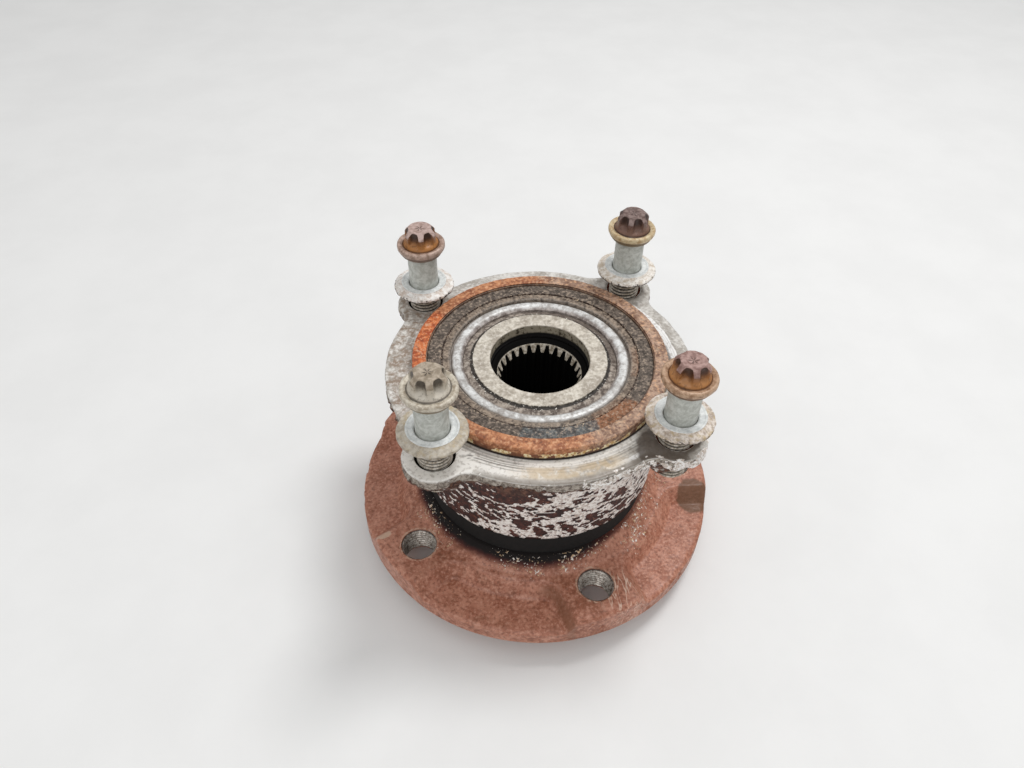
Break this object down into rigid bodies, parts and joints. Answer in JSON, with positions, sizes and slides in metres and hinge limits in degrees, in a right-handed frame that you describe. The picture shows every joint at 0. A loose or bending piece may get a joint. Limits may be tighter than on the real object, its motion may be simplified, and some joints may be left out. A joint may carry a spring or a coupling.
{
  "type": "wheel hub bearing",
  "caption": "Driven wheel hub bearing: flanged splined hub in a sealed double-row ball bearing with an eared mounting ring and captive-washer bolts.",
  "frame": {"origin": "on the spin axis, at the end face of the wheel pilot on which the hub stands", "axes": "+Z along the spin axis from the wheel side to the knuckle side; the four knuckle bolts lie at 45, 135, 225 and 315 degrees from +X"},
  "size_m": [0.1466, 0.1466, 0.1246],
  "materials": {
    "hub_steel": "rust-brown oxidised forged steel",
    "ring_steel": "machined steel faces over a corroded forged body",
    "race_steel": "ground bearing steel, dulled",
    "ball_steel": "polished bearing balls",
    "cage_polymer": "glass-filled polyamide",
    "case_steel": "pressed sheet steel",
    "slinger_steel": "satin stainless sheet",
    "encoder_rubber": "magnetised rubber, grey-brown with rust stains",
    "seal_rubber": "black nitrile rubber",
    "bolt_steel": "zinc-coated steel with rusted head",
    "washer_steel": "zinc-flake coated steel, chalky"
  },
  "bodies": {
    "hub": {"hub_flange": "hub_steel", "inner_ring": "race_steel", "inboard_slinger": "slinger_steel", "encoder_ring": "encoder_rubber"},
    "outer_ring": {"outer_ring": "ring_steel", "inboard_seal_case": "case_steel", "inboard_seal_lip": "seal_rubber", "outboard_seal_case": "case_steel", "outboard_seal_lip": "seal_rubber"},
    "inboard_row": {"cage_inboard": "cage_polymer", "balls_inboard": "ball_steel"},
    "outboard_row": {"cage_outboard": "cage_polymer", "balls_outboard": "ball_steel"},
    "washer_rear_right": {"washer_rear_right": "washer_steel"},
    "bolt_rear_right": {"bolt_rear_right": "bolt_steel"},
    "washer_rear_left": {"washer_rear_left": "washer_steel"},
    "bolt_rear_left": {"bolt_rear_left": "bolt_steel"},
    "washer_front_left": {"washer_front_left": "washer_steel"},
    "bolt_front_left": {"bolt_front_left": "bolt_steel"},
    "washer_front_right": {"washer_front_right": "washer_steel"},
    "bolt_front_right": {"bolt_front_right": "bolt_steel"}
  },
  "joints": [
    {"name": "outer_ring_spin", "type": "hinge", "parent": "hub", "child": "outer_ring", "pos_m": [0, 0, 0.06], "axis": [0, 0, 1], "continuous": true},
    {"name": "inboard_row_orbit", "type": "hinge", "parent": "hub", "child": "inboard_row", "pos_m": [0, 0, 0.0725], "axis": [0, 0, 1], "continuous": true},
    {"name": "outboard_row_orbit", "type": "hinge", "parent": "hub", "child": "outboard_row", "pos_m": [0, 0, 0.052], "axis": [0, 0, 1], "continuous": true},
    {"name": "washer_rear_right_travel", "type": "slide", "parent": "outer_ring", "child": "washer_rear_right", "axis": [0, 0, 1], "range_m": [-0.00422, 0.01392]},
    {"name": "bolt_rear_right_turn", "type": "hinge", "parent": "washer_rear_right", "child": "bolt_rear_right", "pos_m": [0.04087, 0.04087, 0.1], "axis": [0, 0, 1], "range_deg": [-1008, 3336]},
    {"name": "washer_rear_left_travel", "type": "slide", "parent": "outer_ring", "child": "washer_rear_left", "axis": [0, 0, 1], "range_m": [-0.00262, 0.01552]},
    {"name": "bolt_rear_left_turn", "type": "hinge", "parent": "washer_rear_left", "child": "bolt_rear_left", "pos_m": [-0.04087, 0.04087, 0.1], "axis": [0, 0, 1], "range_deg": [-624, 3720]},
    {"name": "washer_front_left_travel", "type": "slide", "parent": "outer_ring", "child": "washer_front_left", "axis": [0, 0, 1], "range_m": [-0.00622, 0.01192]},
    {"name": "bolt_front_left_turn", "type": "hinge", "parent": "washer_front_left", "child": "bolt_front_left", "pos_m": [-0.04087, -0.04087, 0.1], "axis": [0, 0, 1], "range_deg": [-1488, 2856]},
    {"name": "washer_front_right_travel", "type": "slide", "parent": "outer_ring", "child": "washer_front_right", "axis": [0, 0, 1], "range_m": [-0.00312, 0.01502]},
    {"name": "bolt_front_right_turn", "type": "hinge", "parent": "washer_front_right", "child": "bolt_front_right", "pos_m": [0.04087, -0.04087, 0.1], "axis": [0, 0, 1], "range_deg": [-744, 3600]}
  ],
  "couplings": [
    {"joint": "inboard_row_orbit", "follows": "outer_ring_spin", "ratio": 0.582},
    {"joint": "outboard_row_orbit", "follows": "outer_ring_spin", "ratio": 0.582},
    {"joint": "washer_rear_right_travel", "follows": "bolt_rear_right_turn", "m_per_rad": 0.00023873},
    {"joint": "washer_rear_left_travel", "follows": "bolt_rear_left_turn", "m_per_rad": 0.00023873},
    {"joint": "washer_front_left_travel", "follows": "bolt_front_left_turn", "m_per_rad": 0.00023873},
    {"joint": "washer_front_right_travel", "follows": "bolt_front_right_turn", "m_per_rad": 0.00023873}
  ]
}
